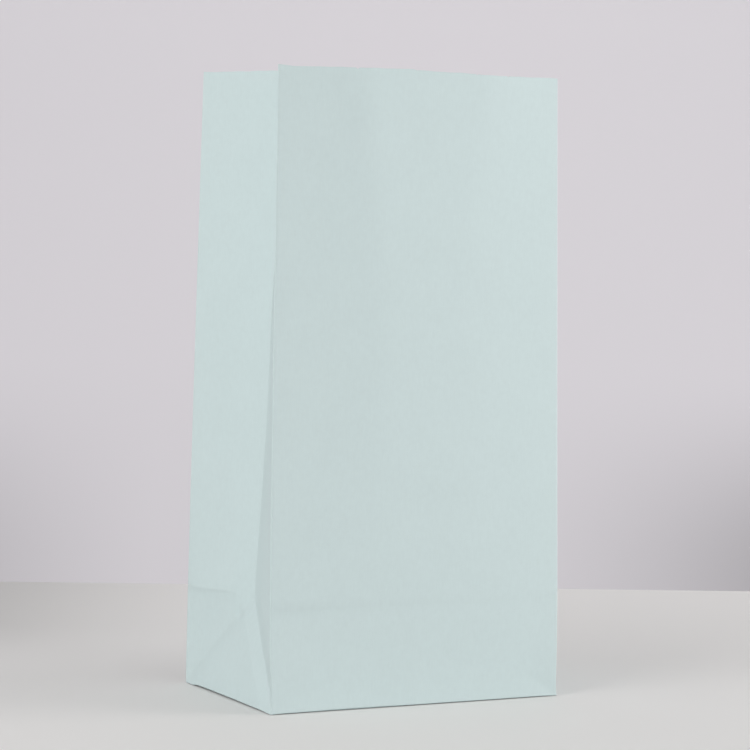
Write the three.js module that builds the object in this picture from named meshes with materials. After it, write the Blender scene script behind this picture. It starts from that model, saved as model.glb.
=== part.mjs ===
// A small paper bag with a block bottom and folded-in sides, standing open and empty.
//
// Millimetres, +Z up. The origin is the middle of the base, on the surface the bag stands on.
// The wide front panel faces -Y and the wide back panel +Y. The gussets face -X and +X.
//
// The bag is one sheet, so a point on it is named by its place on the flat sheet: the distance
// from a fold along the panel, and the height above the crease that runs round the base. Every
// half of a gusset keeps its flat width however far it is pushed in, as paper does not stretch.
import * as THREE from "three";

// ---------- Driving dimensions ----------

const WIDTH = 127; // wide panel, fold to fold
const GUSSET = 79.4; // side, fold to fold, laid flat
const HEIGHT = 248; // crease of the base to the cut edge, laid flat
const WALL = 0.4; // one panel
const BASE_WALL = 0.9; // the folded layers of the base

// The lowest triangle of each gusset stands on the base's edge and leans into the bag.
const LEAN = THREE.MathUtils.degToRad(15.7);

// Each mouth corner, from straight above its base corner: how far it has moved in along X and
// along Y, and how much lower than HEIGHT the cut edge is there.
const MOUTH = {
  frontLeft: { inX: 0, inY: 5.0, drop: 0.3 },
  frontRight: { inX: 2.2, inY: 7.0, drop: 1.2 },
  backRight: { inX: 1.6, inY: 7.4, drop: 1.9 },
  backLeft: { inX: -0.3, inY: 7.8, drop: 1.9 },
};

// How far the middle of each panel stands out of the plane of its folds at the mouth, and how
// wide a stretch of a wide panel bends beside the two lines where a folded gusset had lain.
const FRONT_BOW = 4.0;
const BACK_BOW = 5.0;
const GUSSET_BOW = 0.9;
const SOFT_BEND = 14;

// The middle crease of a gusset is not quite straight between its ends.
const CREASE_BOW = 0.6;

// Facets along the sheet.
const HALF_GUSSET_STEPS = 6;
const WIDE_STEPS = 12;
const UPPER_STEPS = 10;

const PAPER_COLOUR = 0xc9d8d7;
const PAPER_ROUGHNESS = 0.85;

// ---------- Places worked out from them ----------

const HALF = GUSSET / 2;

// As the lowest triangle leans by LEAN, the wide panel beside it leans by this much as far up
// as the triangle's tip: the only lean that stretches neither.
const PANEL_LEAN = 2 * Math.atan(Math.tan(LEAN / 2) ** 2);

const vector = (x, y, z) => new THREE.Vector3(x, y, z);
const mix = (a, b, share) => a.clone().lerp(b, share);

// A vertical fold runs from its base corner to its knee, level with the gusset's tip, and on to
// the mouth. sideX and sideY are -1 or 1.
function makeFold(sideX, sideY, mouth) {
  const base = vector((sideX * WIDTH) / 2, (sideY * GUSSET) / 2, 0);
  const knee = base.clone();
  knee.y -= sideY * HALF * Math.sin(PANEL_LEAN);
  knee.z = HALF * Math.cos(PANEL_LEAN);
  const top = base.clone();
  top.x -= sideX * mouth.inX;
  top.y -= sideY * mouth.inY;
  top.z = HEIGHT - mouth.drop;
  return (t) => (t <= HALF ? mix(base, knee, t / HALF) : mix(knee, top, (t - HALF) / (HEIGHT - HALF)));
}

const FOLDS = {
  frontLeft: makeFold(-1, -1, MOUTH.frontLeft),
  frontRight: makeFold(1, -1, MOUTH.frontRight),
  backRight: makeFold(1, 1, MOUTH.backRight),
  backLeft: makeFold(-1, 1, MOUTH.backLeft),
};

// A ramp from 0 at a fold to 1 at HALF from it, rounded over SOFT_BEND where it levels out.
function shoulder(distance) {
  const start = HALF - SOFT_BEND / 2;
  if (distance <= start) return distance / HALF;
  const past = Math.min(distance - start, SOFT_BEND);
  return (start + past - past ** 2 / (2 * SOFT_BEND)) / HALF;
}

// A wide panel between two folds, standing out more and more towards the mouth.
function widePoint(fromFold, toFold, outY, bow, s, t) {
  const point = mix(fromFold(t), toFold(t), s / WIDTH);
  point.y += outY * bow * shoulder(Math.min(s, WIDTH - s)) * (t / HEIGHT);
  return point;
}

// A gusset, s from the first of its two folds in the order round the bag. inX points into it.
function gussetPoint(fromFold, toFold, inX, s, t) {
  const tip = mix(fromFold(0), toFold(0), 0.5);
  tip.x += inX * HALF * Math.sin(LEAN);
  tip.z = HALF * Math.cos(LEAN);

  const near = s <= HALF ? fromFold : toFold;
  const across = Math.min(s, GUSSET - s);
  if (t <= HALF && across >= t) {
    const point = mix(fromFold(0), toFold(0), s / GUSSET);
    point.x += inX * t * Math.sin(LEAN);
    point.z = t * Math.cos(LEAN);
    return point;
  }
  if (t <= HALF) {
    return near(t).addScaledVector(tip.sub(near(HALF)), across / HALF);
  }

  const from = fromFold(HEIGHT);
  const to = toFold(HEIGHT);
  const crest = mix(from, to, 0.5);
  const halfGap = from.distanceTo(to) / 2;
  crest.x += inX * Math.sqrt(HALF ** 2 - halfGap ** 2);
  const rise = (t - HALF) / (HEIGHT - HALF);
  const crease = mix(tip, crest, rise);
  crease.x += inX * CREASE_BOW * Math.sin(Math.PI * rise);
  const point = mix(near(t), crease, across / HALF);
  point.x -= inX * GUSSET_BOW * Math.sin((Math.PI * across) / HALF) * rise;
  return point;
}

// ---------- The outer face of the paper, as a grid of rings ----------

const PANELS = [
  { from: "frontLeft", to: "frontRight", length: WIDTH, steps: WIDE_STEPS, outY: -1, bow: FRONT_BOW },
  { from: "frontRight", to: "backRight", length: GUSSET, steps: 2 * HALF_GUSSET_STEPS, inX: -1 },
  { from: "backRight", to: "backLeft", length: WIDTH, steps: WIDE_STEPS, outY: 1, bow: BACK_BOW },
  { from: "backLeft", to: "frontLeft", length: GUSSET, steps: 2 * HALF_GUSSET_STEPS, inX: 1 },
];

function panelPoint(panel, s, t) {
  const from = FOLDS[panel.from];
  const to = FOLDS[panel.to];
  return panel.inX
    ? gussetPoint(from, to, panel.inX, s, t)
    : widePoint(from, to, panel.outY, panel.bow, s, t);
}

function ringAt(t) {
  return PANELS.flatMap((panel) =>
    Array.from({ length: panel.steps }, (_, i) => panelPoint(panel, (i * panel.length) / panel.steps, t)),
  );
}

// Below the tips, the rows are as far apart as the gusset's columns, so that its slanting
// creases run from corner to corner of the cells.
function rowHeights() {
  const lower = Array.from({ length: HALF_GUSSET_STEPS }, (_, j) => (j * HALF) / HALF_GUSSET_STEPS);
  const upper = Array.from(
    { length: UPPER_STEPS + 1 },
    (_, j) => HALF + (j * (HEIGHT - HALF)) / UPPER_STEPS,
  );
  return [...lower, ...upper];
}

// True where a cell is cut in two from its lower left to its upper right corner.
function risesAcross() {
  return PANELS.flatMap((panel) => Array.from({ length: panel.steps }, (_, i) => i < panel.steps / 2));
}

// A skin is a list of points with triangles that name three of them, anticlockwise from outside.
function outerSkin() {
  const rows = rowHeights();
  const columns = PANELS.reduce((sum, panel) => sum + panel.steps, 0);
  const rises = risesAcross();
  const points = rows.flatMap(ringAt);
  const triangles = [];

  for (let row = 0; row < rows.length - 1; row += 1) {
    for (let column = 0; column < columns; column += 1) {
      const next = (column + 1) % columns;
      const a = row * columns + column;
      const b = row * columns + next;
      const c = (row + 1) * columns + next;
      const d = (row + 1) * columns + column;
      if (rises[column]) triangles.push([a, b, c], [a, c, d]);
      else triangles.push([a, b, d], [b, c, d]);
    }
  }

  // The base is a grid whose edges are the lowest ring.
  const depthSteps = 2 * HALF_GUSSET_STEPS;
  const baseAt = [];
  for (let j = 0; j <= depthSteps; j += 1) {
    baseAt.push([]);
    for (let i = 0; i <= WIDE_STEPS; i += 1) {
      if (j === 0) baseAt[j].push(i);
      else if (i === WIDE_STEPS) baseAt[j].push(WIDE_STEPS + j);
      else if (j === depthSteps) baseAt[j].push(2 * WIDE_STEPS + depthSteps - i);
      else if (i === 0) baseAt[j].push(columns - j);
      else {
        baseAt[j].push(points.length);
        points.push(mix(points[i], points[2 * WIDE_STEPS + depthSteps - i], j / depthSteps));
      }
    }
  }
  for (let j = 0; j < depthSteps; j += 1) {
    for (let i = 0; i < WIDE_STEPS; i += 1) {
      const [a, b] = [baseAt[j][i], baseAt[j][i + 1]];
      const [d, c] = [baseAt[j + 1][i], baseAt[j + 1][i + 1]];
      triangles.push([a, c, b], [a, d, c]);
    }
  }

  const firstRimPoint = (rows.length - 1) * columns;
  return { points, triangles, firstRimPoint, columns };
}

// ---------- The inner face, a wall's thickness inside the outer one ----------

// The step into the bag that leaves every face round a point by that face's thickness, found by
// least squares over those faces.
function stepInside(faces) {
  const sums = new Array(9).fill(0);
  const pull = vector(0, 0, 0);
  for (const { normal, weight } of faces) {
    const thickness = normal.z < -0.99 ? BASE_WALL : WALL;
    const n = normal.toArray();
    for (let i = 0; i < 9; i += 1) sums[i] += weight * n[Math.floor(i / 3)] * n[i % 3];
    pull.addScaledVector(normal, -weight * thickness);
  }
  const steadying = 1e-4;
  for (let i = 0; i < 9; i += 4) sums[i] += steadying;
  return pull.applyMatrix3(new THREE.Matrix3().set(...sums).invert());
}

function innerPoints({ points, triangles, firstRimPoint, columns }) {
  const facesAt = points.map(() => []);
  for (const triangle of triangles) {
    const corners = triangle.map((index) => points[index]);
    const normal = new THREE.Triangle(...corners).getNormal(vector(0, 0, 0));
    triangle.forEach((index, k) => {
      const toNext = corners[(k + 1) % 3].clone().sub(corners[k]);
      const toLast = corners[(k + 2) % 3].clone().sub(corners[k]);
      facesAt[index].push({ normal, weight: toNext.angleTo(toLast) });
    });
  }
  return points.map((point, index) => {
    const inner = point.clone().add(stepInside(facesAt[index]));
    const onRim = index >= firstRimPoint && index < firstRimPoint + columns;
    if (onRim) inner.z = point.z;
    return inner;
  });
}

// ---------- The bag ----------

function bagGeometry() {
  const skin = outerSkin();
  const inside = innerPoints(skin);
  const corners = [];
  const add = (...triangle) => triangle.forEach((point) => corners.push(...point.toArray()));

  for (const [a, b, c] of skin.triangles) {
    add(skin.points[a], skin.points[b], skin.points[c]);
    add(inside[a], inside[c], inside[b]);
  }
  for (let column = 0; column < skin.columns; column += 1) {
    const here = skin.firstRimPoint + column;
    const next = skin.firstRimPoint + ((column + 1) % skin.columns);
    add(skin.points[here], skin.points[next], inside[next]);
    add(skin.points[here], inside[next], inside[here]);
  }

  const geometry = new THREE.BufferGeometry();
  geometry.setAttribute("position", new THREE.Float32BufferAttribute(corners, 3));
  geometry.computeVertexNormals();
  return geometry;
}

const paper = new THREE.MeshStandardMaterial({
  color: PAPER_COLOUR,
  roughness: PAPER_ROUGHNESS,
  metalness: 0,
});

const bag = new THREE.Mesh(bagGeometry(), paper);
bag.name = "bag";

const model = new THREE.Group();
model.add(bag);

export default model;
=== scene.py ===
"""A small paper bag with a block bottom and folded-in sides, standing open on a pale table.

The bag is one sheet of thin mint-coloured paper. Every point of it is named by its place on the
flat sheet: u runs round the bag from the front-left fold, and t is the height above the crease
that runs round the base. FoldedSheet says where such a point is on the standing bag.
"""
import math

import bpy
import numpy as np
from bpy.props import FloatProperty, FloatVectorProperty, IntProperty, PointerProperty
from mathutils import Matrix, Vector


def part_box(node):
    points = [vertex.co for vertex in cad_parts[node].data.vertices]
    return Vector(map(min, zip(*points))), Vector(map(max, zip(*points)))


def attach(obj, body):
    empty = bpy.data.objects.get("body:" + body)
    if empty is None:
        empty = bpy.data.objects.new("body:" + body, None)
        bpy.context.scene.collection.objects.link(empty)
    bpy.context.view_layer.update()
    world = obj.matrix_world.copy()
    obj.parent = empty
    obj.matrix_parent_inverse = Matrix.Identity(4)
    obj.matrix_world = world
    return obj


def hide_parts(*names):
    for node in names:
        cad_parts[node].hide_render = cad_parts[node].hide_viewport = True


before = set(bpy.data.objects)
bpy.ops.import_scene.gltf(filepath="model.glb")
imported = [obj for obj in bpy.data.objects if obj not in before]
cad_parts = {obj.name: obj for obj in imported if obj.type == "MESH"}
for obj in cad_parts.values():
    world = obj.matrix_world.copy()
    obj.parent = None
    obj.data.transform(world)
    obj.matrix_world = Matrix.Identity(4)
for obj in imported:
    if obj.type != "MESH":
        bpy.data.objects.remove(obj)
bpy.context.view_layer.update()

bl_info = {
    "name": "Paper Bag",
    "version": (1, 0, 0),
    "blender": (4, 5, 0),
    "location": "View3D > Sidebar > Paper Bag",
    "description": "Builds a standing paper bag with a block bottom, and a plain studio round it",
    "category": "Add Mesh",
}

NODE = "bag"
BODY = "root"
NODE_LOW, NODE_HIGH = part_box(NODE)
MM = 0.001
UP = Vector((0, 0, 1))

# Each upright fold, by the sides of X and Y that it is on, in mm: how far its mouth corner has
# moved in along X and along Y, how much lower the cut edge is there than the sheet is long, and
# how far the fold stands out along X and along Y, at most, from a straight line.
FOLDS = {
    (-1, -1): (-0.1, 5.3, 0.1, 0.45, -0.35),
    (1, -1): (2.7, 7.9, 1.4, -0.15, 0.0),
    (1, 1): (1.9, 7.6, 2.1, 0.3, 0.0),
    (-1, 1): (-0.7, 7.4, 2.2, 0.55, 0.0),
}

# How far the cut edge of the front panel is above or below a straight line between its folds:
# distances from its left fold and heights, in mm.
CUT_PLACES = (0.0, 9.0, 20.0, 32.0, 56.0, 65.0, 78.0, 92.0, 110.0, 127.0)
CUT_HEIGHTS = (0.0, -0.45, -0.1, 0.05, 0.45, 0.0, 0.0, -0.4, -0.3, 0.0)

# How far the foot of each wall stands off the table, from left to right as seen from in front
# of that wall: distances along it and heights, in mm.
FEET = {
    "front": (
        (0, 5, 12, 25, 50, 62, 90, 115, 127),
        (0.1, 0.3, 0.35, 0.5, 0.5, 0.3, 0.35, 0.35, 0.1),
    ),
    "right": ((0, 12, 40, 66, 79.4), (0.1, 0.7, 0.8, 0.6, 0.1)),
    "back": ((0, 30, 64, 100, 127), (0.1, 0.2, 0.3, 0.15, 0.1)),
    "left": ((0, 6.5, 11, 18, 40, 70, 79.4), (0.08, 0.1, 0.7, 0.95, 0.75, 0.45, 0.1)),
}

# How far the outer flap of the base is off the table, in mm, and how far the inner one is above
# it, in thicknesses of the paper.
FLAP_LIFT = 0.05
FLAP_STEP = 1.05

# Small nicks in the cut edge of the front panel: distance from its left fold, depth and half
# width, in mm.
NICKS = ((31.6, 0.55, 0.9), (85.7, 0.35, 0.8), (101.0, 0.4, 0.7), (58.0, 0.2, 1.2))

# Ripples of the cut edge: height in mm, turn in radians for each mm, and start in radians.
RIPPLES = ((0.05, 0.83, 0.0), (0.05, 0.47, 2.0))

# How far below the cut edge its ripples and nicks reach, and its slow rise and fall, in mm.
EDGE_REACH = 1.3
WANDER_REACH = 40.0

# The glued lap: its middle, as a share of the back panel's width from its left fold as seen from
# the front, and in mm the height of its step, half the step's width, and its soft side's width.
LAP_PLACE = 0.62
LAP_STEP = 0.17
LAP_STEP_HALF = 0.02
LAP_SOFT_SIDE = 1.5

# Distances between the columns of the wide panels, between those of the gussets, and between
# the rows above the gussets' tips and on the flaps, in mm.
WIDE_STEP = 2.4
GUSSET_STEP = 1.05
ROW_STEP = 3.0

# Faces that meet at more than this, as those at the cut edges do, have a sharp edge between them.
SHARP_ANGLE = math.radians(62)

# Outer and inner face are joined along the cut edge, where their points are within this, in m.
MERGE_DISTANCE = 1e-6


# ---------- Settings ----------


class PaperBagShape(bpy.types.PropertyGroup):
    width: FloatProperty(
        name="Width", default=2 * NODE_HIGH.x, unit="LENGTH",
        description="Wide panel, fold to fold",
    )
    gusset: FloatProperty(
        name="Gusset", default=NODE_HIGH.y - NODE_LOW.y, unit="LENGTH",
        description="Side of the bag, fold to fold, laid flat",
    )
    height: FloatProperty(
        name="Height", default=0.248, unit="LENGTH",
        description="Crease of the base to the cut edge, laid flat",
    )
    paper: FloatProperty(
        name="Paper thickness", default=0.0002, unit="LENGTH",
        description="Thickness of the sheet",
    )
    lean: FloatProperty(
        name="Lean", default=math.radians(14.5), subtype="ANGLE",
        description="Lean of the lowest triangle of each gusset into the bag",
    )
    belly: FloatProperty(
        name="Belly", default=0.0038, unit="LENGTH",
        description="How far the wide panels stand out all the way up",
    )
    flare: FloatProperty(
        name="Flare", default=0.0030, unit="LENGTH",
        description="How much further the wide panels stand out at the mouth",
    )
    fold_radius: FloatProperty(
        name="Fold radius", default=0.0010, unit="LENGTH",
        description="Reach of the rounding across the upright folds",
    )
    crease_radius: FloatProperty(
        name="Crease radius", default=0.00045, unit="LENGTH",
        description="Reach of the rounding across the level creases",
    )
    lap: FloatProperty(
        name="Lap", default=0.012, unit="LENGTH",
        description="Width of the glued lap down the back panel",
    )
    flap_reach: FloatProperty(
        name="Flap reach", default=0.011, unit="LENGTH",
        description="How far each flap of the base passes the middle of the base",
    )
    wave: FloatProperty(
        name="Waves", default=0.00022, unit="LENGTH",
        description="Height of the slow waves in the free parts of the paper",
    )
    wave_size: FloatProperty(
        name="Wave size", default=0.055, unit="LENGTH",
        description="Length of those waves",
    )
    cockle: FloatProperty(
        name="Cockle", default=0.000022, unit="LENGTH",
        description="Height of the small waves in the paper",
    )
    cockle_size: FloatProperty(
        name="Cockle size", default=0.011, unit="LENGTH",
        description="Length of those small waves",
    )
    seed: IntProperty(
        name="Seed", default=7,
        description="Start of the random waves",
    )


class PaperBagFinish(bpy.types.PropertyGroup):
    colour: FloatVectorProperty(
        name="Paper colour", subtype="COLOR", size=3, min=0.0, max=1.0,
        default=(0.579, 0.681, 0.684),
        description="Colour of the paper",
    )
    mottle: FloatProperty(
        name="Mottle", default=0.03, subtype="FACTOR",
        description="How much the colour varies from place to place",
    )
    roughness: FloatProperty(
        name="Roughness", default=0.72, subtype="FACTOR",
        description="Roughness of the paper's surface",
    )
    fibre_relief: FloatProperty(
        name="Fibre relief", default=0.00001, unit="LENGTH",
        description="Height of the fibres in the surface",
    )
    crease_wear: FloatProperty(
        name="Crease wear", default=0.05, subtype="FACTOR",
        description="How much lighter the paper is along its creases",
    )
    # Painted shade: how much darker the colour is made along the creases and folds the bag had when
    # folded flat.
    crease_shade_strength: FloatProperty(
        name="Press shade", default=0.022, subtype="FACTOR",
        description="How much darker the paper is where it was pressed while folded flat",
    )


class PaperBagStudio(bpy.types.PropertyGroup):
    camera_place: FloatVectorProperty(
        name="Camera", subtype="TRANSLATION", size=3, default=(-0.5799, -1.1059, 0.2126),
        description="Where the camera stands",
    )
    camera_turn: FloatProperty(
        name="Turn", default=math.radians(27.622), subtype="ANGLE",
        description="Camera's turn to the right of the front panel's square view",
    )
    camera_dip: FloatProperty(
        name="Dip", default=math.radians(3.930), subtype="ANGLE",
        description="How far the camera looks down",
    )
    camera_roll: FloatProperty(
        name="Roll", default=math.radians(1.312), subtype="ANGLE",
        description="Camera's roll about its line of sight",
    )
    focal_length: FloatProperty(
        name="Focal length", default=150.2, unit="CAMERA",
        description="Focal length for a frame 36 mm wide",
    )
    right_power: FloatProperty(
        name="Right light", default=19.3, unit="POWER",
        description="Power of the large light on the right",
    )
    low_left_power: FloatProperty(
        name="Low left light", default=9.35, unit="POWER",
        description="Power of the large level light on the left",
    )
    high_left_power: FloatProperty(
        name="High left light", default=3.9, unit="POWER",
        description="Power of the large raised light on the left",
    )
    wall_power: FloatProperty(
        name="Wall light", default=3.4, unit="POWER",
        description="Power of the light on the wall",
    )
    sky: FloatProperty(
        name="Room light", default=0.538,
        description="Strength of the even light of the pale room",
    )
    corner_shade: FloatProperty(
        name="Corner shade", default=0.168, subtype="FACTOR",
        description="How much darker the wall is low down, 0.3 m right of the view's middle",
    )
    table_shade: FloatProperty(
        name="Table shade", default=0.23, subtype="FACTOR",
        description="How much darker the far end of the table is at the left edge of the view",
    )
    table_end: FloatProperty(
        name="Table end", default=1.553, unit="LENGTH",
        description="From the camera to the far edge of the table",
    )
    table_slant: FloatProperty(
        name="Table slant", default=math.radians(4.2), subtype="ANGLE",
        description="Turn of the table's far edge from square to the view",
    )
    wall_distance: FloatProperty(
        name="Wall distance", default=3.2, unit="LENGTH",
        description="From the camera to the wall",
    )
    table_colour: FloatVectorProperty(
        name="Table", subtype="COLOR", size=3, default=(0.81, 0.795, 0.78),
        description="Colour of the table",
    )
    wall_colour: FloatVectorProperty(
        name="Wall", subtype="COLOR", size=3, default=(0.758, 0.728, 0.765),
        description="Colour of the wall behind",
    )


# ---------- Node trees written as expressions ----------


class Wire:
    """A node's output. Maths on it adds Math nodes to the tree it belongs to."""

    def __init__(self, net, socket):
        self.net = net
        self.socket = socket

    def maths(self, operation, first, second):
        values = {0: first, 1: second}
        return self.net.add("ShaderNodeMath", {"operation": operation}, values)["Value"]

    def least(self, other):
        return self.maths("MINIMUM", self, other)

    def __add__(self, other):
        return self.maths("ADD", self, other)

    __radd__ = __add__

    def __sub__(self, other):
        return self.maths("SUBTRACT", self, other)

    def __rsub__(self, other):
        return self.maths("SUBTRACT", other, self)

    def __mul__(self, other):
        return self.maths("MULTIPLY", self, other)

    __rmul__ = __mul__

    def __truediv__(self, other):
        return self.maths("DIVIDE", self, other)

    def __rtruediv__(self, other):
        return self.maths("DIVIDE", other, self)


class Placed:
    """A node in a tree, whose outputs are read by name or number."""

    def __init__(self, net, node):
        self.net = net
        self.node = node

    def __getitem__(self, output):
        return Wire(self.net, self.node.outputs[output])


class Net:
    """A node tree that is being wired."""

    def __init__(self, tree):
        self.tree = tree

    def add(self, kind, settings=None, values=None):
        """Adds a node: its settings first, then values or wires into its sockets."""
        node = self.tree.nodes.new(kind)
        for name, setting in (settings or {}).items():
            setattr(node, name, setting)
        for name, value in (values or {}).items():
            if isinstance(value, Wire):
                self.tree.links.new(value.socket, node.inputs[name])
            else:
                node.inputs[name].default_value = value
        return Placed(self, node)

    def mix_colour(self, factor, first, second):
        settings = {"data_type": "RGBA", "clamp_factor": True}
        return self.add("ShaderNodeMix", settings, {0: factor, 6: first, 7: second})[2]

    def scaled(self, vector, factors):
        values = {0: vector, 1: factors}
        return self.add("ShaderNodeVectorMath", {"operation": "MULTIPLY"}, values)["Vector"]

    def along(self, vector, axis):
        values = {0: vector, 1: axis}
        return self.add("ShaderNodeVectorMath", {"operation": "DOT_PRODUCT"}, values)["Value"]


# ---------- The folded sheet ----------


def hump(distance, reach):
    """1 at no distance, and next to nothing from twice the reach."""
    return np.exp(-((distance / reach) ** 2))


def share(value, full):
    """0 up to nothing, rising evenly to 1 at full, and 1 beyond it."""
    return np.clip(value / full, 0, 1)


class FoldedSheet:
    """Where each point of the flat sheet is on the standing bag, in mm."""

    outset_share = 0.25  # of the radius, that sharp folds lie beyond rounded ones
    bend = 45.0  # mm from each fold to the soft bend of a wide panel, half way up
    bend_drift = 10.0  # mm nearer to the fold at the foot and at the mouth
    bend_softness = 8.0  # mm over which it bends
    right_share = 0.78  # of the front's stand-out at its left bend that it has at its right one
    belly_rise = 60.0  # mm of height over which the belly comes in
    foot_tuck = 1.5  # mm that a wide panel is drawn in just above its foot
    foot_tuck_rise = 20.0  # mm up to where it is drawn in most
    foot_fade = 25.0  # mm of height over which the lift of the foot fades
    flare_power = 3.0  # of the height, with which the flare grows
    fold_bow_power = 0.6  # less than 1, so that an upright fold bows most below its middle
    gusset_sag = 0.8  # mm that each half of a gusset is hollow at the mouth
    sag_power = 3  # of the height, with which that grows
    crease_bow = 1.3  # mm that the middle crease of a gusset bows into the bag
    crease_bow_end = 0.62  # share of the crease, from its foot, that bows in
    tongue_width = 10.2  # mm along the sheet between the gusset's slanting crease and its twin
    tongue_dip = 1.5  # mm that the valley is deeper along the slanting crease
    tongue_rise = 8.0  # mm of height over which it deepens, from the foot
    tongue_fade = 60.0  # mm over which that fades, above the gusset's tip
    curl = 0.45  # mm that the front springs out close to its left fold, near the mouth
    curl_reach = 4.0  # mm from the fold over which it does
    imprint = (0.112, 0.032)  # mm deep at the front's two folds, where the base lay against it
    imprint_reach = (1.1, 2.2)  # mm above that line and below it
    back_crease = 0.14  # mm deep, where the base was folded up against the back
    back_crease_reach = 0.8  # mm above and below it
    level_bow = 1.4  # mm that the crease across each gusset arches upwards, nearer to its tip
    level_bow_reach = 8.0  # mm above and below it that are arched with it
    side_ridge = 0.9  # mm that the paper stands out above the crease across each gusset
    side_step = 0.27  # mm less just below that crease
    side_step_height = 1.2  # mm of height over which it is less
    side_reach = 9.0  # mm over which it settles back, up and down
    ridge_ends = (8.0, 5.0)  # mm over which it comes in beside the tip, and ends at the back
    facet_hollow = 0.85  # mm that the triangle under that crease is hollow
    crumple = (46.5, 32.3, 1.9, 0.9)  # on the left gusset: place s and t, radius and depth in mm
    corner_slant = 0.56  # radians that the crease at the front's lower right corner rises by
    corner_crease = (19.0, 0.45, 3.5)  # its length, depth and reach to each side in mm
    corner_ends = (3.0, 6.0)  # mm over which it comes in at the corner, and ends
    base_gap = 0.6  # mm under the base, where its two flaps lie
    base_hollow = 0.2  # mm more under its middle
    base_hollow_reach = 12.0  # mm from its edge, over which that comes in
    slack_reach = 14.0  # mm from folds and creases, over which the paper becomes free to wave

    def __init__(self, shape):
        self.width = shape.width / MM
        self.gusset = shape.gusset / MM
        self.height = shape.height / MM
        self.half = self.gusset / 2
        self.lean = shape.lean
        self.belly = shape.belly / MM
        self.flare = shape.flare / MM
        self.radius = shape.fold_radius / MM
        self.crease_radius = shape.crease_radius / MM
        self.outset = self.outset_share * self.radius
        self.panel_lean = 2 * math.atan(math.tan(shape.lean / 2) ** 2)
        self.starts = np.cumsum([0, self.width, self.gusset, self.width, self.gusset])

    def panel_of(self, u):
        """The number of a point's panel, its distance from that panel's start, and the length."""
        u = np.mod(u, self.starts[-1])
        panel = np.searchsorted(self.starts, u, side="right") - 1
        length = np.where(panel % 2 == 0, self.width, self.gusset)
        return panel, u - self.starts[panel], length

    def fold(self, side_x, side_y, t):
        """A vertical fold: base corner, knee level with the gusset's tip, mouth corner."""
        in_x, in_y, drop, out_x, out_y = FOLDS[side_x, side_y]
        base = np.array([
            side_x * (self.width / 2 + self.outset),
            side_y * (self.gusset / 2 + self.outset),
            0.0,
        ])
        rise = self.half * math.cos(self.panel_lean)
        to_knee = np.array([0.0, -side_y * self.half * math.sin(self.panel_lean), rise])
        top = base + (-side_x * in_x, -side_y * in_y, self.height - drop)
        lower = share(t, self.half)[:, None]
        upper = np.maximum((t - self.half) / (self.height - self.half), 0)[:, None]
        point = base + to_knee * lower + (top - base - to_knee) * upper
        bow = np.sin(np.pi * share(t, self.height) ** self.fold_bow_power)[:, None]
        return point + bow * (side_x * out_x, side_y * out_y, 0.0)

    def shoulder(self, s, t, left, right):
        """How far a wide panel stands out: nothing at its folds, left and right at its bends."""
        near = self.bend - self.bend_drift * (2 * t / self.height - 1) ** 2
        far = self.width - near
        slopes = (left / near, (right - left) / (far - near), -right / near)
        out = slopes[0] * s
        for bend, before, after in ((near, *slopes[:2]), (far, *slopes[1:])):
            past = s - bend
            soft = np.clip(past / self.bend_softness + 0.5, 0, 1)
            eased = np.where(soft < 1, self.bend_softness * soft**2 / 2, np.maximum(past, 0))
            out += (after - before) * eased
        return out

    def wide(self, side_y, s, t):
        """A wide panel, with s from its left fold as seen from the front."""
        left, right = self.fold(-1, side_y, t), self.fold(1, side_y, t)
        point = left + (right - left) * (s / self.width)[:, None]
        above = np.maximum(t, 0)
        out = self.belly * (1 - np.exp(-above / self.belly_rise))
        out += self.flare * (above / self.height) ** self.flare_power
        tuck = above / self.foot_tuck_rise
        out -= self.foot_tuck * tuck * np.exp(1 - tuck)
        right = out * (self.right_share if side_y < 0 else 1.0)
        out = self.shoulder(s, above, out, right)
        above_crease = t - self.half
        if side_y > 0:
            out -= self.back_crease * hump(above_crease, self.back_crease_reach)
        else:
            out += self.curl * (1 - np.exp(-s / self.curl_reach)) * above / self.height
            at_left, at_right = self.imprint
            depth = at_left + (at_right - at_left) * s / self.width
            out -= depth * hump(above_crease, np.where(above_crease > 0, *self.imprint_reach))
            out -= self.corner_dent(s, t)
        point[:, 1] += side_y * out
        point[:, 1] -= side_y * np.maximum(-t, 0)
        return point

    def corner_dent(self, s, t):
        """A shallow crease that slants up from the front's lower right corner."""
        length, depth, reach = self.corner_crease
        comes_in, ends = self.corner_ends
        run, rise = math.cos(self.corner_slant), math.sin(self.corner_slant)
        in_x, up = self.width - s, np.maximum(t, 0)
        along = in_x * run + up * rise
        off = up * run - in_x * rise
        there = share(along, comes_in) * share(length - along, ends)
        return depth * there * np.exp(-np.abs(off) / reach)

    def side(self, side_x, s, t):
        """A gusset, with s from its front fold."""
        front, back = self.fold(side_x, -1, t), self.fold(side_x, 1, t)
        corner = self.fold(side_x, -1, np.zeros(1))[0]
        tip = np.array([
            corner[0] - side_x * self.half * math.sin(self.lean),
            0.0,
            self.half * math.cos(self.lean),
        ])
        across = np.minimum(s, self.gusset - s)[:, None]
        in_front, at_tip = (s <= self.half)[:, None], np.full(1, self.half)
        near = np.where(in_front, front, back)
        knee = np.where(in_front, self.fold(side_x, -1, at_tip), self.fold(side_x, 1, at_tip))

        above = np.maximum(t, 0)
        triangle = np.stack([
            corner[0] - side_x * above * math.sin(self.lean),
            corner[1] + s,
            above * math.cos(self.lean),
        ], axis=1)
        facet = near + (tip - knee) * across / self.half

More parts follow.
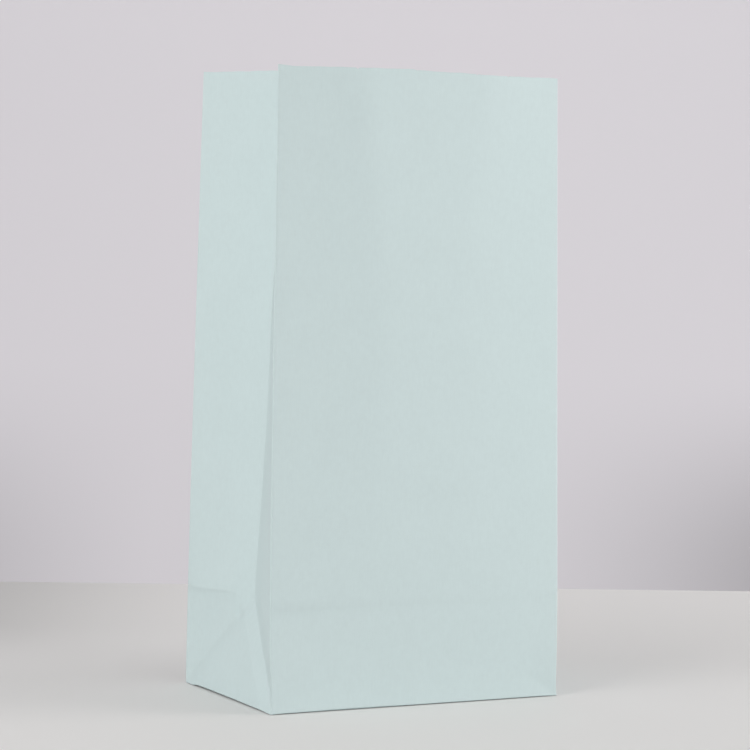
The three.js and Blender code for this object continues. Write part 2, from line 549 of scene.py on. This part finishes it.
        mouth = np.full(1, self.height)
        top_front, top_back = self.fold(side_x, -1, mouth)[0], self.fold(side_x, 1, mouth)[0]
        crest = (top_front + top_back) / 2
        gap = np.linalg.norm(top_back - top_front) / 2
        crest[0] -= side_x * math.sqrt(self.half**2 - gap**2)
        rise = ((t - self.half) / (self.height - self.half))[:, None]
        crease = tip + (crest - tip) * rise
        along = share(rise[:, 0], self.crease_bow_end)
        crease[:, 0] -= side_x * self.crease_bow * np.sin(np.pi * along) ** 2
        upper = near + (crease - near) * across / self.half
        sag = np.sin(np.pi * across / self.half) * share(rise, 1) ** self.sag_power
        upper[:, 0] -= side_x * self.gusset_sag * sag[:, 0]

        low = (t <= self.half)[:, None]
        point = np.where(low, np.where(across >= t[:, None], triangle, facet), upper)
        point[:, 0] -= side_x * (self.dip(s, t) + np.maximum(-t, 0))
        point[:, 0] -= side_x * self.side_marks(side_x, s, t)
        bow = np.sin(np.pi * (across[:, 0] / self.half) ** 2)
        point[:, 2] += self.level_bow * bow * hump(t - self.half, self.level_bow_reach)
        return point

    def side_marks(self, side_x, s, t):
        """Small dents of a gusset: along the crease across it, and where its paper crumpled."""
        from_fold = self.gusset - s
        comes_in, ends = self.ridge_ends
        far_half = share(s - self.half - self.tongue_width / 2, comes_in) * share(from_fold, ends)
        above = t - self.half
        below = np.clip(0.5 - above / self.side_step_height, 0, 1)
        ridge = self.side_ridge - self.side_step * below
        depth = -ridge * far_half * np.exp(-np.abs(above) / self.side_reach)

        # The three shares add up to 1 on the triangle, so their product is at most 1 / 3**3.
        corners = share(np.stack([self.half - t, from_fold, t - from_fold]), self.half)
        depth += self.facet_hollow * 3**3 * corners.prod(axis=0)
        if side_x < 0:
            at_s, at_t, radius, deep = self.crumple
            depth += deep * hump(np.hypot(s - at_s, t - at_t), radius)
        return depth

    def dip(self, s, t):
        """How much deeper the valley lies along its front slanting crease and just above it."""
        past = s - np.minimum(t, self.half)
        reach = np.where(past > 0, self.tongue_width, self.half / 2)
        beside = np.clip(1 - np.abs(past) / reach, 0, 1)
        along = share(t, self.tongue_rise) * np.clip(1 - (t - self.half) / self.tongue_fade, 0, 1)
        return self.tongue_dip * beside * along * (s < self.half + self.tongue_width)

    def place(self, u, t):
        """A point of the sheet, where the panels meet at sharp folds."""
        panel, s, length = self.panel_of(u)
        s = np.where(panel < 2, s, length - s)
        point = np.empty((len(u), 3))
        panels = ((self.wide, -1), (self.side, 1), (self.wide, 1), (self.side, -1))
        for number, (panel_point, outward) in enumerate(panels):
            here = panel == number
            point[here] = panel_point(outward, s[here], t[here])
        return point

    def rounded(self, u, t):
        """The same point with every fold and crease rounded, by a mean over a small patch."""
        taps = ((-1, 1), (-0.66, 2), (-0.33, 3), (0, 3), (0.33, 3), (0.66, 2), (1, 1))
        total = np.zeros((len(u), 3))
        weights = 0
        for across, weight_across in taps:
            for up, weight_up in taps:
                weight = weight_across * weight_up
                near_u, near_t = u + across * self.radius, t + up * self.crease_radius
                total += weight * self.place(near_u, near_t)
                weights += weight
        return total / weights

    def from_crease(self, u, t):
        """The distance along the sheet from the nearest fold or crease of the same panel."""
        panel, s, length = self.panel_of(u)
        across = np.minimum(s, length - s)
        nearest = np.minimum(across, t)
        middle = np.where(t > self.half, self.half - across, np.abs(t - across) / math.sqrt(2))
        on_gusset = np.minimum(np.minimum(nearest, middle), np.abs(t - self.half))
        return np.where(panel % 2 == 1, on_gusset, nearest)

    def slack(self, u, t):
        """How free the paper is to wave: 0 at folds, creases and the base, 1 well away."""
        away = share(self.from_crease(u, t), self.slack_reach)
        return away * away * (3 - 2 * away)


# ---------- Meshes ----------


def spread(length, step, ends=(0.0, 0.33, 0.66, 1.0, 1.7)):
    """Distances from 0 to length: close together at both ends, and step apart between."""
    first, last = ends[-1], length - ends[-1]
    count = max(1, round((last - first) / step))
    middle = np.linspace(first, last, count + 1)
    return np.unique(np.concatenate([ends, middle, length - np.array(ends)]).round(6))


def in_scene(name, data):
    """A new object of this data, in the scene."""
    thing = bpy.data.objects.new(name, data)
    bpy.context.scene.collection.objects.link(thing)
    return thing


def mesh_object(name, points, faces, attributes):
    mesh = bpy.data.meshes.new(name)
    mesh.from_pydata((points * MM).tolist(), [], faces)
    for title, values in attributes.items():
        kind, field = ("FLOAT", "value") if values.ndim == 1 else ("FLOAT_VECTOR", "vector")
        layer = mesh.attributes.new(title, kind, "POINT")
        layer.data.foreach_set(field, values.astype(np.float32).ravel())
    return in_scene(name, mesh)


def quads(grid):
    """The faces between the rows and columns of a grid of point numbers."""
    corners = grid[:-1, :-1], grid[1:, :-1], grid[1:, 1:], grid[:-1, 1:]
    return np.stack(corners, axis=-1).reshape(-1, 4).tolist()


def bag_skin(shape):
    """The outer face of the bag: a grid of the sheet's columns and rows, and one for the base."""
    sheet = FoldedSheet(shape)
    half_gusset = spread(sheet.half, GUSSET_STEP, ends=(0.0, 0.25, 0.55, 1.0))
    gusset = np.concatenate([half_gusset, (sheet.gusset - half_gusset[:-1])[::-1]])
    lap_middle, lap = LAP_PLACE * sheet.width, shape.lap / MM
    lap_start, lap_end = lap_middle - lap / 2, lap_middle + lap / 2
    lap_edges = [lap_start - LAP_STEP_HALF, lap_start + LAP_STEP_HALF]
    lap_edges += [lap_end - LAP_SOFT_SIDE, lap_end]
    nicks = [place + part * size for place, _, size in NICKS for part in (-1, -0.4, 0, 0.4, 1)]
    wide = np.unique(np.concatenate([spread(sheet.width, WIDE_STEP), lap_edges, nicks]))

    columns = [wide, gusset, sheet.width - wide[::-1], gusset]
    u = np.concatenate([start + column[:-1] for start, column in zip(sheet.starts, columns)])
    upper = sheet.half + spread(sheet.height - sheet.half, ROW_STEP, ends=(0.0, 0.25, 0.6, 1.2))
    t = np.concatenate([half_gusset, upper[1:]])

    flat_u, flat_t = (grid.ravel() for grid in np.meshgrid(u, t))
    points = sheet.rounded(flat_u, flat_t)
    points[:, 2] += foot_lift(sheet, flat_u, flat_t) + cut_edge(sheet, flat_u, flat_t)
    points[:, 1] += lap_relief(sheet, flat_u, lap_edges)
    count = len(u)

    # Below the gussets' tips, cells are cut in two the way that the slanting creases run.
    below_tips = t < sheet.half - half_gusset[1] / 2
    rising = np.concatenate([np.arange(len(c) - 1) < (len(c) - 1) / 2 for c in columns])
    faces = []
    for row in range(len(t) - 1):
        for column in range(count):
            after = (column + 1) % count
            a, b = row * count + column, row * count + after
            d, c = a + count, b + count
            if below_tips[row]:
                faces += [(a, b, c), (a, c, d)] if rising[column] else [(a, b, d), (b, c, d)]
            else:
                faces.append((a, b, c, d))

    # The base's grid has the lowest row of the walls as its edge.
    across, deep = len(wide) - 1, len(gusset) - 1
    base = np.empty((deep + 1, across + 1), int)
    base[0] = np.arange(across + 1)
    base[deep] = 2 * across + deep - np.arange(across + 1)
    base[:, across] = across + np.arange(deep + 1)
    base[1:, 0] = count - np.arange(1, deep + 1)
    x, y = np.meshgrid(wide[1:-1], gusset[1:-1])
    base[1:-1, 1:-1] = len(points) + np.arange(x.size).reshape(x.shape)
    edge = np.min([x, sheet.width - x, y, sheet.gusset - y], axis=0)
    z = sheet.base_gap + sheet.base_hollow * share(edge, sheet.base_hollow_reach)
    inner = np.stack([x - sheet.width / 2, y - sheet.half, z], axis=-1).reshape(-1, 3)

    place = np.stack([flat_u, flat_t, np.zeros_like(flat_u)], axis=1)
    attributes = {"sheet": np.vstack([place, inner * (1, 1, 0)])}
    measures = {"slack": FoldedSheet.slack, "crease": crease_nearness, "crease_shade": painted_crease_shade}
    for title, measure in measures.items():
        attributes[title] = np.append(measure(sheet, flat_u, flat_t), np.zeros(len(inner)))
    return mesh_object("paper_bag", np.vstack([points, inner]), faces + quads(base), attributes)


def foot_lift(sheet, u, t):
    """How far the foot of the walls stands off the table."""
    places, heights = [], []
    for (steps, rises), start in zip(FEET.values(), sheet.starts):
        places += [start + step for step in steps]
        heights += rises
    return np.interp(u, places, heights) * np.exp(-np.maximum(t, 0) / sheet.foot_fade)


def cut_edge(sheet, u, t):
    """The ripples, the nicks and the slow rise and fall of the cut edge, as a change of height."""
    below = sheet.height - t
    small = sum(height * np.sin(u * turn + start) for height, turn, start in RIPPLES)
    for place, depth, half_width in NICKS:
        small -= depth * np.clip(1 - np.abs(u - place) / half_width, 0, 1)
    wander = np.interp(u, CUT_PLACES, CUT_HEIGHTS, right=0.0)
    return small * (1 - share(below, EDGE_REACH)) + wander * (1 - share(below, WANDER_REACH))


def lap_relief(sheet, u, edges):
    """The step of the glued lap down the back panel."""
    panel, s, length = sheet.panel_of(u)
    return (panel == 2) * (s > 0) * LAP_STEP * np.interp(length - s, edges, (0, 1, 1, 0))


def crease_nearness(sheet, u, t):
    """1 on a fold or crease and 0 from a millimetre away."""
    return 1 - share(sheet.from_crease(u, t), 1.0)


# Painted shade round the creases the bag had while folded flat: where, in mm, and how dark.
FRONT_BAND_REACH = 2.4  # above and below the line where the base lay against the front
FRONT_BAND = (0.45, 1.1, 9.0, 15.0)  # all along it, more near one place, that place, its reach
FOLD_BAND = (1.6, 0.35, 0.45)  # along the front's left fold, its distance from it, its reach
FOLD_BAND_RISE = (150.0, 70.0)  # height at which that starts, and over which it comes in
LEVEL_BAND = (0.7, 1.6)  # on the gussets, how far below the crease across them, and its reach
LEVEL_BAND_FADE = (1.5, 2.2, 0.2)  # at the back fold, how much less at the tip, and at the least
SLANT_BAND = 1.25  # beside the slanting crease at the back
SLANT_BAND_REACH = (5.5, 0.7)  # below that crease and above it
SLANT_BAND_END = 3.0  # under the crease across the gusset, over which it comes in


def painted_crease_shade(sheet, u, t):
    """How dark the colour is painted, as shade round the creases the paper had when it was folded
    flat.
    """
    panel, s, length = sheet.panel_of(u)
    above = t - sheet.half

    everywhere, more, place, reach = FRONT_BAND
    front = (panel == 0) * hump(above, FRONT_BAND_REACH)
    front = front * (everywhere + more * hump(u - place, reach))
    fold_band_shade, place, reach = FOLD_BAND
    start, rise = FOLD_BAND_RISE
    front += fold_band_shade * hump(u - place, reach) * share(t - start, rise)

    from_back = np.where(panel == 1, length - s, s)
    back_half = (panel % 2 == 1) & (s > 0) & (from_back < sheet.half)
    place, reach = LEVEL_BAND
    most, less, least = LEVEL_BAND_FADE
    level = hump(above + place, reach) * np.clip(most - less * from_back / sheet.half, least, most)
    inside = from_back - t
    slant = SLANT_BAND * hump(inside, np.where(inside > 0, *SLANT_BAND_REACH))
    slant *= share(-above, SLANT_BAND_END)
    return front + back_half * np.maximum(level, slant)


def flap_skin(name, shape, side_y, height):
    """A long flap with ends mitred at 45 degrees, hinged on one wide panel's foot, face down."""
    width, half = shape.width / MM, shape.gusset / MM / 2
    depth = half + shape.flap_reach / MM
    inset, count = 0.35, 41  # mm inside the edge of the base, and points in each row
    rows = spread(depth, ROW_STEP, ends=(0.0, 0.4, 1.2))
    points = []
    for row in rows:
        reach = width / 2 - inset - min(row, half)
        y = side_y * (half - inset - row * (depth - inset) / depth)
        points += [(x, y, height) for x in np.linspace(-1, 1, count) * reach]
    points, flat = np.array(points), np.zeros(len(points))
    grid = np.arange(len(points)).reshape(-1, count)
    attributes = {"slack": flat, "sheet": points * (1, 1, 0), "crease": flat, "crease_shade": flat}
    return mesh_object(name, points, quads(grid[::side_y].T), attributes)


# ---------- The paper, as a Geometry Nodes tree ----------


def paper_tree():
    """Gives a folded skin its slow waves and cockle, and makes it a sheet with a thickness."""
    tree = bpy.data.node_groups.new("Sheet of paper", "GeometryNodeTree")
    ports = tree.interface
    ports.new_socket("Geometry", in_out="INPUT", socket_type="NodeSocketGeometry")
    for name in ("Thickness", "Wave height", "Wave size", "Cockle height", "Cockle size", "Seed"):
        ports.new_socket(name, in_out="INPUT", socket_type="NodeSocketFloat")
    ports.new_socket("Paper", in_out="INPUT", socket_type="NodeSocketMaterial")
    ports.new_socket("Geometry", in_out="OUTPUT", socket_type="NodeSocketGeometry")

    net = Net(tree)
    given = net.add("NodeGroupInput")
    place = net.add("GeometryNodeInputPosition")["Position"]
    normal = net.add("GeometryNodeInputNormal")["Normal"]
    slack = net.add("GeometryNodeInputNamedAttribute", {"data_type": "FLOAT"}, {"Name": "slack"})

    def waves(size, height):
        values = {"Vector": place, "W": given["Seed"], "Scale": 1.0 / given[size], "Detail": 1.0}
        noise = net.add("ShaderNodeTexNoise", {"noise_dimensions": "4D"}, values)
        return (noise[0] - 0.5) * 2.0 * given[height]

    rise = waves("Wave size", "Wave height") + waves("Cockle size", "Cockle height")
    rise = rise * slack["Attribute"]
    values = {"Vector": normal, "Scale": rise}
    offset = net.add("ShaderNodeVectorMath", {"operation": "SCALE"}, values)["Vector"]
    values = {"Geometry": given["Geometry"], "Offset": offset}
    waved = net.add("GeometryNodeSetPosition", None, values)["Geometry"]

    values = {"Mesh": waved, "Offset Scale": 0.0 - given["Thickness"], "Individual": False}
    inside = net.add("GeometryNodeExtrudeMesh", {"mode": "FACES"}, values)["Mesh"]
    inside = net.add("GeometryNodeFlipFaces", None, {"Mesh": inside})["Mesh"]
    both = net.add("GeometryNodeJoinGeometry", None, {"Geometry": waved})
    tree.links.new(inside.socket, both.node.inputs["Geometry"])
    values = {"Geometry": both["Geometry"], "Distance": MERGE_DISTANCE}
    whole = net.add("GeometryNodeMergeByDistance", None, values)["Geometry"]
    smooth = net.add("GeometryNodeSetShadeSmooth", None, {"Geometry": whole})["Geometry"]
    real = net.add("GeometryNodeRealizeInstances", None, {"Geometry": smooth})["Geometry"]
    values = {"Geometry": real, "Material": given["Paper"]}
    finished = net.add("GeometryNodeSetMaterial", None, values)["Geometry"]
    net.add("NodeGroupOutput", None, {"Geometry": finished})
    return tree


def made_of_paper(piece, shape, waves=1.0):
    """Runs the paper tree on a skin. What it leaves is a plain mesh with sharp cut edges."""
    tree = bpy.data.node_groups.get("Sheet of paper") or paper_tree()
    modifier = piece.modifiers.new("Sheet of paper", "NODES")
    modifier.node_group = tree
    values = {
        "Thickness": shape.paper,
        "Wave height": shape.wave * waves,
        "Wave size": shape.wave_size,
        "Cockle height": shape.cockle * waves,
        "Cockle size": shape.cockle_size,
        "Seed": float(shape.seed),
        "Paper": bpy.data.materials.get("mint_paper") or paper_material(),
    }
    for item in tree.interface.items_tree:
        if item.in_out == "INPUT" and item.name in values:
            modifier[item.identifier] = values[item.name]
    evaluated = piece.evaluated_get(bpy.context.evaluated_depsgraph_get())
    mesh = bpy.data.meshes.new_from_object(evaluated)
    piece.modifiers.remove(modifier)
    piece.data = mesh
    mesh.name = piece.name
    mesh.set_sharp_from_angle(angle=SHARP_ANGLE)
    return piece


# ---------- Finishes ----------

BLACK = (0.0, 0.0, 0.0, 1.0)


def new_material(name):
    """A material without nodes, the net to wire it by, and the place on its object."""
    material = bpy.data.materials.new(name)
    material.use_nodes = True
    material.node_tree.nodes.clear()
    net = Net(material.node_tree)
    return material, net, net.add("ShaderNodeTexCoord")["Object"]


def put_surface(net, values):
    surface = net.add("ShaderNodeBsdfPrincipled", None, values)
    net.add("ShaderNodeOutputMaterial", None, {"Surface": surface["BSDF"]})


def paper_material():
    """Thin coloured kraft paper: clouded colour, fine fibres along the sheet, worn creases, painted
    shade.
    """
    finish = bpy.context.scene.paper_bag_finish
    material, net, place = new_material("mint_paper")
    sheet = net.add("ShaderNodeAttribute", {"attribute_name": "sheet"})["Vector"]
    crease = net.add("ShaderNodeAttribute", {"attribute_name": "crease"})["Fac"]
    crease_shade = net.add("ShaderNodeAttribute", {"attribute_name": "crease_shade"})["Fac"]

    def noise(vector, scale, detail, roughness=0.5):
        values = {"Vector": vector, "Scale": scale, "Detail": detail, "Roughness": roughness}
        return net.add("ShaderNodeTexNoise", None, values)["Fac"]

    # Fibres and ribs run along the sheet's height, so they are drawn out in that direction.
    clouds = noise(place, scale=60.0, detail=3.0)
    flocks = noise(place, scale=420.0, detail=2.0, roughness=0.6)
    fibres = noise(net.scaled(sheet, (2.2, 0.16, 1.0)), scale=1.0, detail=3.0, roughness=0.65)
    ribs = noise(net.scaled(sheet, (1.1, 0.02, 1.0)), scale=1.0, detail=1.0)

    shade = clouds * 0.2 + flocks * 0.4 + fibres * 0.4
    darkest, lightest = 0.3, 0.7  # which the clouded shade mostly keeps between
    colour = Vector(finish.colour)
    dark = [*(colour * (1 - finish.mottle)), 1.0]
    light = [*(colour * (1 + finish.mottle)), 1.0]
    body = net.mix_colour((shade - darkest) / (lightest - darkest), dark, light)
    bare_fibre, bareness = Vector((0.9, 0.9, 0.9)), 0.35
    worn = [*colour.lerp(bare_fibre, bareness), 1.0]
    body = net.mix_colour(crease * fibres * finish.crease_wear, body, worn)
    # Painted shade along the creases the bag had when folded flat, mixed towards black.
    body = net.mix_colour(crease_shade * finish.crease_shade_strength, body, BLACK)

    relief = (fibres * 0.6 + flocks * 0.25 + ribs * 0.5) * finish.fibre_relief
    bump = net.add("ShaderNodeBump", None, {"Strength": 1.0, "Distance": 1.0, "Height": relief})
    roughness_spread = 0.12
    put_surface(net, {
        "Base Color": body,
        "Roughness": finish.roughness + (flocks - 0.5) * roughness_spread,
        "Specular IOR Level": 0.35,
        "Normal": bump["Normal"],
    })
    return material


def plain_material(name, colour, roughness, mottle, shade):
    """A matt, slightly clouded finish. shade(net, place) is how black it is from place to place."""
    material, net, place = new_material(name)
    cloud_scale = 5.0
    cloud = net.add("ShaderNodeTexNoise", None, {"Vector": place, "Scale": cloud_scale})["Fac"]
    light = [*colour, 1.0]
    dark = [*(Vector(colour) * (1 - mottle)), 1.0]
    body = net.mix_colour(cloud, light, dark)
    body = net.mix_colour(shade(net, place), body, BLACK)
    put_surface(net, {"Base Color": body, "Roughness": roughness})
    return material


# ---------- Operators ----------


class PAPERBAG_OT_body(bpy.types.Operator):
    """Build the walls, gussets and base of the bag from one folded sheet"""

    bl_idname = "paper_bag.body"
    bl_label = "Bag Body"

    def execute(self, context):
        shape = context.scene.paper_bag_shape
        bag = made_of_paper(bag_skin(shape), shape)
        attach(bag, BODY)
        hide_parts(NODE)
        return {"FINISHED"}


class PAPERBAG_OT_base_flaps(bpy.types.Operator):
    """Build the two long flaps that are folded over each other and glued under the base"""

    bl_idname = "paper_bag.base_flaps"
    bl_label = "Base Flaps"

    def execute(self, context):
        shape = context.scene.paper_bag_shape
        thickness = shape.paper / MM
        for name, side_y, height in (
            ("base_flap_inner", -1, FLAP_LIFT + FLAP_STEP * thickness),
            ("base_flap_outer", 1, FLAP_LIFT),
        ):
            flap = made_of_paper(flap_skin(name, shape, side_y, height), shape, waves=0.0)
            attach(flap, BODY)
        return {"FINISHED"}


class PAPERBAG_OT_studio(bpy.types.Operator):
    """Set up the table, the wall behind it, soft lights and the camera"""

    bl_idname = "paper_bag.studio"
    bl_label = "Studio"

    def execute(self, context):
        studio = context.scene.paper_bag_studio
        add_camera(studio)
        add_table_and_wall(studio)
        add_lights(studio)
        context.scene.view_settings.view_transform = "Standard"
        context.scene.view_settings.look = "None"
        return {"FINISHED"}


# ---------- The studio, in metres ----------

SENSOR_WIDTH = 36.0  # mm, which the focal length is given for
CAMERA_REACH = 50.0
STAGE_HALF_WIDTH = 3.0
TABLE_BEHIND_CAMERA = 1.5
WALL_DROP, WALL_HEIGHT = 1.5, 4.5  # from the table's level down to its foot, and in all

# Where the table's far left turns darker, in metres from the camera and to the left of the view's
# middle: from where, and from where on in full. At the left edge of the view it isn't full yet.
TABLE_SHADE_AWAY = (1.27, 1.41)
TABLE_SHADE_LEFT = (0.06, 0.24)
TABLE_SHADE_FULL = 1.7  # times the setting

# The wall turns darker between these heights, and by the setting times three numbers: for the
# square of the metres to the right of the view's middle, for those metres, and for everywhere.
WALL_SHADE_HEIGHT = (0.01, -0.21)
WALL_SHADE_ACROSS = (11.1, 1.08, -0.32)
WALL_SHADE_MOST = 0.3

# The three lights on the bag: what they point at, how far from it they are, and how wide.
LIGHT_TARGET = UP * 0.12
LIGHT_DISTANCE = 1.5
LIGHT_SIZE = 1.0

# The light on the wall: how far before it, how high, how high it points, and how wide.
WALL_LIGHT_BEFORE = 0.9
WALL_LIGHT_HEIGHT = 1.3
WALL_LIGHT_TARGET = 0.5
WALL_LIGHT_SIZE = 1.2


def direction(turn, lift):
    """A direction that is turned to the right from +Y, and lifted."""
    level = math.cos(lift)
    return Vector((math.sin(turn) * level, math.cos(turn) * level, math.sin(lift)))


def view_axes(studio):
    """The point at the table's height under the camera, and level axes ahead and to the right."""
    under_camera = Vector(studio.camera_place)
    under_camera.z = 0
    ahead = direction(studio.camera_turn, 0)
    return under_camera, ahead, Vector((ahead.y, -ahead.x, 0))


def add_camera(studio):
    ahead, roll = direction(studio.camera_turn, -studio.camera_dip), studio.camera_roll
    level = view_axes(studio)[2]
    upright = level.cross(ahead)
    right = math.cos(roll) * level + math.sin(roll) * upright
    up = math.cos(roll) * upright - math.sin(roll) * level
    data = bpy.data.cameras.new("camera")
    data.sensor_width = SENSOR_WIDTH
    data.lens = studio.focal_length
    data.clip_end = CAMERA_REACH
    camera = in_scene("camera", data)
    turned = Matrix((right, up, -ahead)).transposed().to_4x4()
    camera.matrix_world = Matrix.Translation(studio.camera_place) @ turned
    bpy.context.scene.camera = camera


def add_sheet(name, corners, material):
    mesh = bpy.data.meshes.new(name)
    mesh.from_pydata(corners, [], [tuple(range(len(corners)))])
    mesh.materials.append(material)
    sheet = in_scene(name, mesh)


def add_table_and_wall(studio):
    """A table whose far edge shows a little behind the bag, and a wall well behind it."""
    under_camera, ahead, level = view_axes(studio)
    aside = level * STAGE_HALF_WIDTH
    slant = ahead * STAGE_HALF_WIDTH * math.tan(studio.table_slant)
    near = under_camera - ahead * TABLE_BEHIND_CAMERA
    far = under_camera + ahead * studio.table_end

    def fades(net, value, none_at, full_at):
        limits = {"From Min": none_at, "From Max": full_at, "To Min": 0.0, "To Max": 1.0}
        settings = {"interpolation_type": "SMOOTHSTEP"}
        return net.add("ShaderNodeMapRange", settings, {"Value": value, **limits})["Result"]

    def table_shade(net, place):
        away = net.along(place, ahead) - ahead.dot(under_camera)
        left = level.dot(under_camera) - net.along(place, level)
        there = fades(net, away, *TABLE_SHADE_AWAY) * fades(net, left, *TABLE_SHADE_LEFT)
        return there * (TABLE_SHADE_FULL * studio.table_shade)

    def corner_shade(net, place):
        low = fades(net, net.along(place, UP), *WALL_SHADE_HEIGHT)
        across = net.along(place, level) - level.dot(under_camera)
        by_square, by_place, always = WALL_SHADE_ACROSS
        dark = (across * across * by_square + across * by_place + always) * studio.corner_shade
        return low * dark.least(WALL_SHADE_MOST)

    corners = [near - aside, near + aside, far + aside + slant, far - aside - slant]
    finish = {"roughness": 0.6, "mottle": 0.02, "shade": table_shade}
    add_sheet("table", corners, plain_material("pale_table", studio.table_colour, **finish))

    foot = under_camera + ahead * studio.wall_distance - UP * WALL_DROP
    top = foot + UP * WALL_HEIGHT
    corners = [foot - aside, foot + aside, top + aside, top - aside]
    finish = {"roughness": 0.9, "mottle": 0.01, "shade": corner_shade}
    add_sheet("wall", corners, plain_material("pale_wall", studio.wall_colour, **finish))


def add_lights(studio):
    """Even light from the pale room, three large soft lights on the bag and one on the wall."""
    world = bpy.data.worlds.new("room")
    world.use_nodes = True
    background = world.node_tree.nodes["Background"]
    background.inputs["Color"].default_value = (1.0, 1.0, 1.0, 1.0)
    background.inputs["Strength"].default_value = studio.sky
    bpy.context.scene.world = world

    # Where they stand: degrees to the right of the camera, as it sees the bag, and up.
    to_camera = studio.camera_turn + math.pi
    for name, power, to_the_right, up in (
        ("right_light", studio.right_power, 90.0, 3.0),
        ("low_left_light", studio.low_left_power, -45.0, 3.0),
        ("high_left_light", studio.high_left_power, -45.0, 45.0),
    ):
        outward = direction(to_camera - math.radians(to_the_right), math.radians(up))
        add_soft_light(name, power, LIGHT_SIZE, LIGHT_TARGET + outward * LIGHT_DISTANCE, outward)

    under_camera, ahead, _ = view_axes(studio)
    foot = under_camera + ahead * studio.wall_distance
    place = foot - ahead * WALL_LIGHT_BEFORE + UP * WALL_LIGHT_HEIGHT
    outward = place - foot - UP * WALL_LIGHT_TARGET
    add_soft_light("wall_light", studio.wall_power, WALL_LIGHT_SIZE, place, outward)


def add_soft_light(name, power, size, place, outward):
    """A square light that faces against outward."""
    data = bpy.data.lights.new(name, "AREA")
    data.energy = power
    data.size = size
    turned = outward.to_track_quat("Z", "Y").to_matrix().to_4x4()
    in_scene(name, data).matrix_world = Matrix.Translation(place) @ turned


# ---------- Panel and registration ----------


class VIEW3D_PT_paper_bag(bpy.types.Panel):
    """The bag's pieces, its stage and their settings"""

    bl_label = "Paper Bag"
    bl_space_type = "VIEW_3D"
    bl_region_type = "UI"
    bl_category = "Paper Bag"

    def draw(self, context):
        layout = self.layout
        for operator in OPERATORS:
            layout.operator(operator.bl_idname)
        for settings in SETTINGS:
            owner = getattr(context.scene, settings)
            box = layout.box()
            for name in owner.bl_rna.properties.keys():
                if name not in ("rna_type", "name"):
                    box.prop(owner, name)


OPERATORS = (PAPERBAG_OT_body, PAPERBAG_OT_base_flaps, PAPERBAG_OT_studio)
SETTINGS = {
    "paper_bag_shape": PaperBagShape,
    "paper_bag_finish": PaperBagFinish,
    "paper_bag_studio": PaperBagStudio,
}
CLASSES = (*SETTINGS.values(), *OPERATORS, VIEW3D_PT_paper_bag)


def register():
    for item in CLASSES:
        bpy.utils.register_class(item)
    for name, group in SETTINGS.items():
        setattr(bpy.types.Scene, name, PointerProperty(type=group))


def unregister():
    for name in SETTINGS:
        delattr(bpy.types.Scene, name)
    for item in reversed(CLASSES):
        bpy.utils.unregister_class(item)


def main():
    register()
    bpy.ops.paper_bag.body()
    bpy.ops.paper_bag.base_flaps()
    bpy.ops.paper_bag.studio()


if __name__ == "__main__":
    main()
